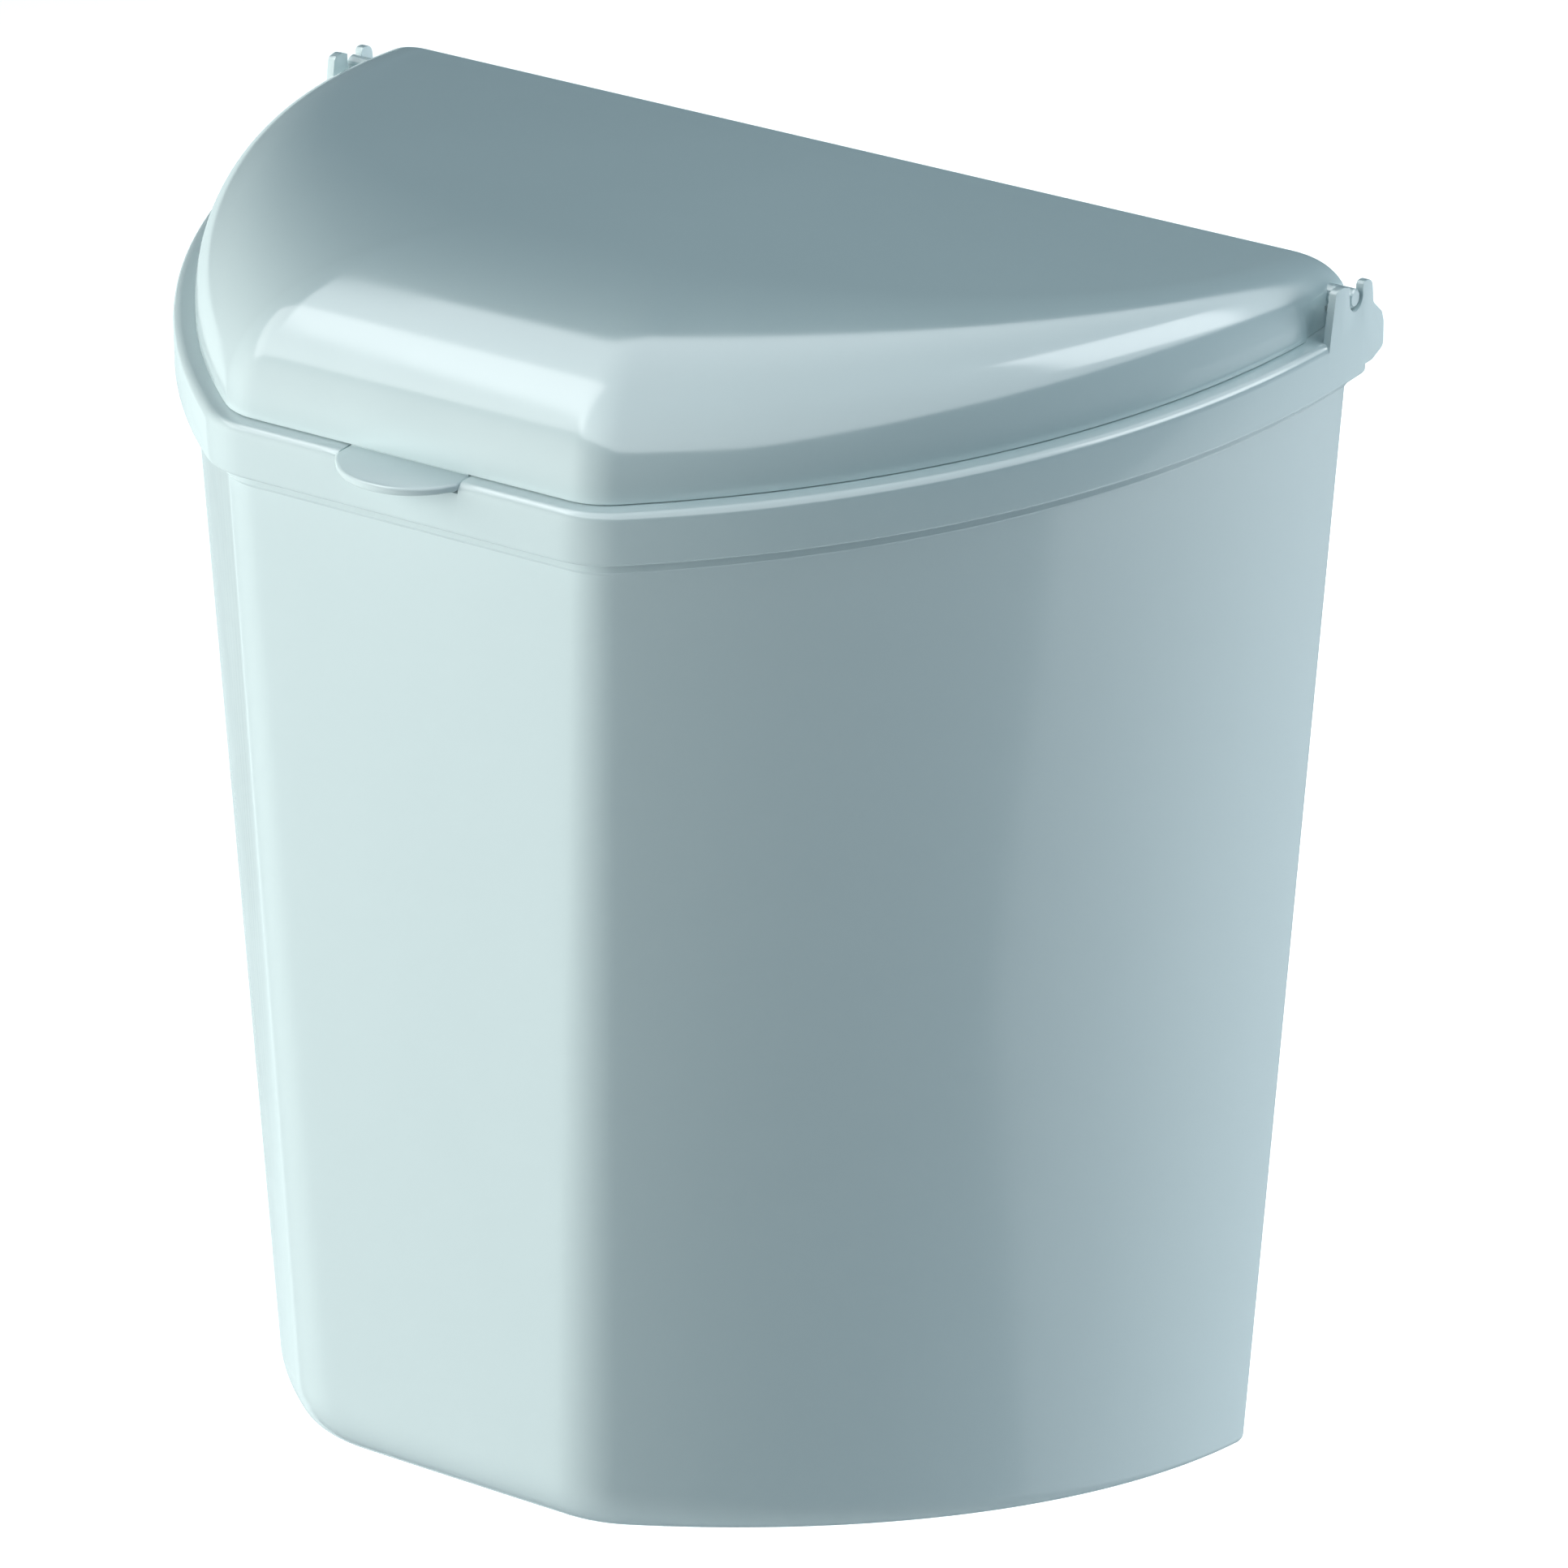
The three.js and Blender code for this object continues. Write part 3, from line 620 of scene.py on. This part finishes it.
LID_INSET_MM = 4.7
LID_WALL_MM = 2.2
LID_EDGE_HEIGHT_MM = 0.4
LID_BACK_EDGE_HEIGHT_MM = 4.9
LID_BACK_HEIGHT_MM = 12.8
LID_TOP_SLOPE = 0.12
LID_SHOULDER_POWER = 2.4
SHOULDER_STEPS = 40
LID_LIP_DROP_MM = 0.3
PLATEAU_HALF_WIDTH_MM = 116
PLATEAU_DEPTH_MM = 100
PLATEAU_BACK_MM = 2.5
PLATEAU_BACK_WALL_SHARE = 0.4
PLATEAU_FACET_HALF_WIDTH_MM = 16
PLATEAU_CORNER_RADIUS_MM = 40
PLATEAU_BACK_RADIUS_MM = 2
POCKET_X_MM = 128.4
POCKET_FRONT_MM = -19
LID_RELIEF_FRONT_MM = -9
CUTTER_LOW_MM = -5
CUTTER_HIGH_MM = 30
CUTTER_BACK_MM = 5
CUTTER_SIDE_MM = 140
KNUCKLE_THICKNESS_MM = 6
KNUCKLE_FRONT_MM = -15
KNUCKLE_BACK_MM = -1.5
KNUCKLE_SIDE_GAP_MM = 0.02
KNUCKLE_SKIN_GAP_MM = 0.05
TAB_HALF_WIDTH_MM = 15.7
TAB_REACH_MM = 9.8
TAB_THICKNESS_MM = 1.9
TAB_TOP_MM = 0.05
TAB_EDGE_MM = 0.7
TAB_ROOT_THICKNESS_MM = 1.5
TAB_ROOT_MARGIN_MM = 0.5
TAB_ROOT_FRONT_GAP_MM = 0.2
TAB_ROOT_HEIGHT_MM = 2


def lid_rings(drop):
    """Rings of one skin of the lid, from its lower edge up to the plateau."""
    edge = bin_outline(LID_INSET_MM + drop, LID_BACK_GAP_MM + drop)
    top = plan_outline(
        PLATEAU_HALF_WIDTH_MM,
        PLATEAU_DEPTH_MM,
        PLATEAU_BACK_MM + drop * PLATEAU_BACK_WALL_SHARE,
        PLATEAU_FACET_HALF_WIDTH_MM,
        PLATEAU_CORNER_RADIUS_MM,
        PLATEAU_BACK_RADIUS_MM,
    )
    rings = []
    for step in range(SHOULDER_STEPS + 1):
        angle = math.pi / 2 * step / SHOULDER_STEPS
        outwards = max(math.cos(angle), 0) ** (2 / LID_SHOULDER_POWER)
        upwards = math.sin(angle) ** (2 / LID_SHOULDER_POWER)
        points = []
        for (edge_x, edge_y), (top_x, top_y) in zip(edge, top):
            x = top_x + (edge_x - top_x) * outwards
            y = top_y + (edge_y - top_y) * outwards
            crown = LID_BACK_HEIGHT_MM - LID_TOP_SLOPE * y - drop
            z = LID_EDGE_HEIGHT_MM + (crown - LID_EDGE_HEIGHT_MM) * upwards
            points.append(place(x, y, z))
        rings.append(points)
    return rings


def lid_lip():
    """Rings that round the lid's lower edge from the inner skin to the outer one."""
    rings = []
    for i in range(1, LIP_STEPS):
        angle = math.pi * i / LIP_STEPS
        inset = LID_INSET_MM + LID_WALL_MM / 2 * (1 + math.cos(angle))
        back = LID_BACK_GAP_MM + inset - LID_INSET_MM
        height = LID_EDGE_HEIGHT_MM - LID_LIP_DROP_MM * math.sin(angle)
        rings.append(ring(bin_outline(inset, back), height))
    return rings


def tab_outline():
    """Outline of the tab: an arc in front and a straight root inside the lid's wall."""
    radius = (TAB_HALF_WIDTH_MM**2 + TAB_REACH_MM**2) / (2 * TAB_REACH_MM)
    half = math.asin(TAB_HALF_WIDTH_MM / radius)
    centre = (0, -DEPTH_MM - TAB_REACH_MM + radius)
    root = -DEPTH_MM + LID_INSET_MM + LID_WALL_MM - 0.3
    lens = arc(centre, radius, -math.pi / 2 - half, -math.pi / 2 + half, 48)
    return [(-TAB_HALF_WIDTH_MM, root), *lens, (TAB_HALF_WIDTH_MM, root)]


def build_tab():
    """Flat tongue at the front of the lid's edge, rounded all along its lip."""
    mesh = bmesh.new()
    top = TAB_TOP_MM
    extrude_outline(
        mesh,
        tab_outline(),
        lambda x, y: place(x, y, top - TAB_THICKNESS_MM),
        lambda x, y: place(x, y, top),
    )
    tab = piece_from("tab", mesh)
    soften(tab, TAB_EDGE_MM, segments=4)
    settle(tab)
    return tab


def build_tab_root():
    """Short web between the tab and the lid's front wall."""
    half = TAB_HALF_WIDTH_MM - TAB_ROOT_MARGIN_MM
    front = -DEPTH_MM + LID_INSET_MM
    low = (-half, front + TAB_ROOT_FRONT_GAP_MM, TAB_TOP_MM - TAB_ROOT_THICKNESS_MM)
    back = front + LID_WALL_MM - TAB_ROOT_MARGIN_MM
    return block_piece("tab_root", low, (half, back, LID_EDGE_HEIGHT_MM + TAB_ROOT_HEIGHT_MM))


def build_knuckle(side):
    """Solid corner inside the dome that carries the hinge pin."""
    inner_x = side * (POCKET_X_MM - KNUCKLE_THICKNESS_MM)
    outer_x = side * (POCKET_X_MM - KNUCKLE_SIDE_GAP_MM)
    low_x, high_x = sorted((inner_x, outer_x))
    knuckle = block_piece(
        "knuckle",
        (low_x, KNUCKLE_FRONT_MM, LID_BACK_EDGE_HEIGHT_MM),
        (high_x, KNUCKLE_BACK_MM, LID_BACK_HEIGHT_MM),
    )
    dome = bmesh.new()
    skin(dome, lid_rings(KNUCKLE_SKIN_GAP_MM))
    combine(knuckle, [piece_from("dome", dome)], "INTERSECT")
    return knuckle


def lid_cutters():
    """Blocks that open the lid's corners for the ears and clear its back edge."""
    low, high, back, side = CUTTER_LOW_MM, CUTTER_HIGH_MM, CUTTER_BACK_MM, CUTTER_SIDE_MM
    return [
        block_piece("cutter", (POCKET_X_MM, POCKET_FRONT_MM, low), (side, back, high)),
        block_piece("cutter", (-side, POCKET_FRONT_MM, low), (-POCKET_X_MM, back, high)),
        block_piece("cutter", (-side, LID_RELIEF_FRONT_MM, low), (side, back, LID_BACK_EDGE_HEIGHT_MM)),
    ]


def build_lid(plastic):
    """The domed lid with its finger tab and the corners that carry the hinge pins."""
    mesh = bmesh.new()
    skin(mesh, list(reversed(lid_rings(LID_WALL_MM))) + lid_lip() + lid_rings(0))
    lid = piece_from("lid_shell", mesh)
    combine(lid, lid_cutters(), "DIFFERENCE")
    join(lid, [build_tab(), build_tab_root(), build_knuckle(-1), build_knuckle(1)])
    lid.data.set_sharp_from_angle(angle=math.radians(SHARP_ANGLE))
    give(lid, plastic)
    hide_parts("lid")
    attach(lid, "lid")


# ---- small pieces ------------------------------------------------------------------------

def dress_cad_nodes(plastic, rail_plastic, steel, rubber):
    """Gives the CAD nodes their materials and soft edges."""
    for node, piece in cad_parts.items():
        if node.startswith("rail_screw"):
            give(piece, steel)
        elif node.startswith("hinge_pin"):
            give(piece, plastic)
        elif node == "wall_rail":
            give(piece, rail_plastic)
        elif node.startswith("wall_spacer"):
            give(piece, rubber)
        soften(piece, CAD_EDGE_MM, segments=2, angle=SHARP_ANGLE)


# ---- stage -------------------------------------------------------------------------------

VIEW_AZIMUTH = 33.08
VIEW_ELEVATION = 25.67
VIEW_ROLL = -0.44
VIEW_DISTANCE = 2.0645
LENS_MM = 212.2
SENSOR_WIDTH_MM = 36
VIEW_AIM = place(33, -81, -106.2)
FLOOR_DROP = 0.9
FLOOR_HALF_SIDE = 8
BACKDROP_HEIGHT = 1.0
BACKDROP_SIZE = (2.0, 2.6)
BACKDROP_WATTS = 44


def box_centre():
    """Middle of the CAD model's box."""
    low, high = CAD_BOX
    return (Vector(low) + Vector(high)) / 2


def towards(azimuth, elevation):
    """Unit vector from the object; azimuth 0 is the front and 90 the right-hand side."""
    a, e = math.radians(azimuth), math.radians(elevation)
    return Vector((math.sin(a) * math.cos(e), -math.cos(a) * math.cos(e), math.sin(e)))


def add_camera():
    """The main camera, far off with a long lens."""
    back = towards(VIEW_AZIMUTH, VIEW_ELEVATION)
    azimuth = math.radians(VIEW_AZIMUTH)
    across = Vector((math.cos(azimuth), math.sin(azimuth), 0))
    turn = Matrix.Rotation(math.radians(VIEW_ROLL), 3, back)
    right, up = turn @ across, turn @ back.cross(across)
    data = bpy.data.cameras.new("camera")
    data.lens = LENS_MM
    data.sensor_width = SENSOR_WIDTH_MM
    camera = bpy.data.objects.new("camera", data)
    axes = Matrix((right, up, back)).transposed().to_4x4()
    camera.matrix_world = Matrix.Translation(VIEW_AIM + back * VIEW_DISTANCE) @ axes
    bpy.context.collection.objects.link(camera)
    bpy.context.scene.camera = camera


def area_light(name, size, watts, colour):
    """A rectangular light, not yet placed."""
    data = bpy.data.lights.new(name, "AREA")
    data.shape = "RECTANGLE"
    data.size, data.size_y = size
    data.energy = watts
    data.color = colour
    light = bpy.data.objects.new(name, data)
    bpy.context.collection.objects.link(light)
    return light


def add_softbox(name, azimuth, elevation, distance, size, watts, colour, roll=0):
    """Studio light that faces the bin, turned by roll degrees about its own axis."""
    light = area_light(name, size, watts, colour)
    direction = towards(azimuth, elevation)
    light.location = box_centre() + direction * distance
    turn = Quaternion(direction, math.radians(roll))
    light.rotation_euler = (turn @ direction.to_track_quat("Z", "Y")).to_euler()
    return light


def add_lights():
    """Soft lights that shape the bin, and sheens that only show as its reflections."""
    soft = [
        add_softbox("key", -40, 12, 1.7, (2.0, 1.4), 44, (1.0, 1.0, 0.95)),
        add_softbox("side_fill", 143, -11, 1.7, (1.2, 1.2), 23, (0.93, 0.97, 1.0)),
        add_softbox("top_fill", 112, 54, 1.4, (0.8, 0.8), 5.6, (0.84, 0.97, 1.0)),
    ]
    for light in soft:
        light.visible_glossy = False
    sheens = [
        add_softbox("front_sheen", -67, 54, 1.4, (1.14, 0.8), 5.5, (0.99, 1.0, 1.0), roll=-28),
        add_softbox("right_sheen", 127, 41, 1.4, (0.6, 0.6), 3.6, (0.96, 0.99, 1.0), roll=-33),
        add_softbox("overhead_sheen", 100, 74, 1.4, (3.2, 3.2), 80, (0.94, 0.99, 1.0)),
        add_softbox("left_edge_sheen", -130, -26, 1.7, (1.6, 1.4), 5, (0.87, 1.0, 0.98)),
        add_softbox("right_edge_sheen", 142, -28, 1.7, (1.8, 1.4), 3.5, (0.93, 0.98, 1.0)),
    ]
    for light in sheens:
        light.visible_diffuse = False
    add_backdrop_light()


def add_backdrop_light():
    """Wide light over the floor behind the bin, so that the ground reads as white there."""
    floor_z = CAD_BOX[0][2] - FLOOR_DROP
    back = towards(VIEW_AZIMUTH, VIEW_ELEVATION)
    spot = VIEW_AIM - back * ((VIEW_AIM.z - floor_z) / back.z)
    light = area_light("backdrop", BACKDROP_SIZE, BACKDROP_WATTS, (0.92, 0.98, 1.0))
    light.location = spot + Vector((0, 0, BACKDROP_HEIGHT))
    light.rotation_euler = (0, 0, math.radians(VIEW_AZIMUTH))


def add_world():
    """Faint even light from all round."""
    world = bpy.data.worlds.new("studio")
    world.use_nodes = True
    background = world.node_tree.nodes["Background"]
    background.inputs["Color"].default_value = (0.44, 0.77, 1.0, 1)
    background.inputs["Strength"].default_value = 0.15
    bpy.context.scene.world = world


def add_floor():
    """Large pale studio floor, well below the hanging bin."""
    mesh = bmesh.new()
    height = CAD_BOX[0][2] - FLOOR_DROP
    half = FLOOR_HALF_SIDE
    corners = [(-half, -half), (half, -half), (half, half), (-half, half)]
    mesh.faces.new([mesh.verts.new((x, y, height)) for x, y in corners])
    floor = piece_from("floor", mesh)
    material, shader = new_material("pale_floor")
    tone = ramp(material, noise(material, 3, detail=4), (0.90, 0.90, 0.90), (0.94, 0.94, 0.94))
    material.node_tree.links.new(tone, shader.inputs["Base Color"])
    shader.inputs["Roughness"].default_value = 0.9
    give(floor, material)
    floor.visible_glossy = False


def build():
    """Builds the bin, its camera, its lights and its floor."""
    plastic = moulded_plastic("bin_plastic", (0.63, 0.73, 0.745), (0.61, 0.71, 0.725), 0.11, 0.16)
    rail_plastic = moulded_plastic("rail_plastic", (0.60, 0.69, 0.70), (0.57, 0.66, 0.67), 0.32, 0.42)
    build_tub(plastic)
    build_collar(plastic)
    build_lid(plastic)
    dress_cad_nodes(plastic, rail_plastic, plated_steel("plated_steel"), moulded_rubber("rubber"))
    add_camera()
    add_lights()
    add_world()
    add_floor()
    bpy.context.scene.view_settings.view_transform = "Standard"


build()
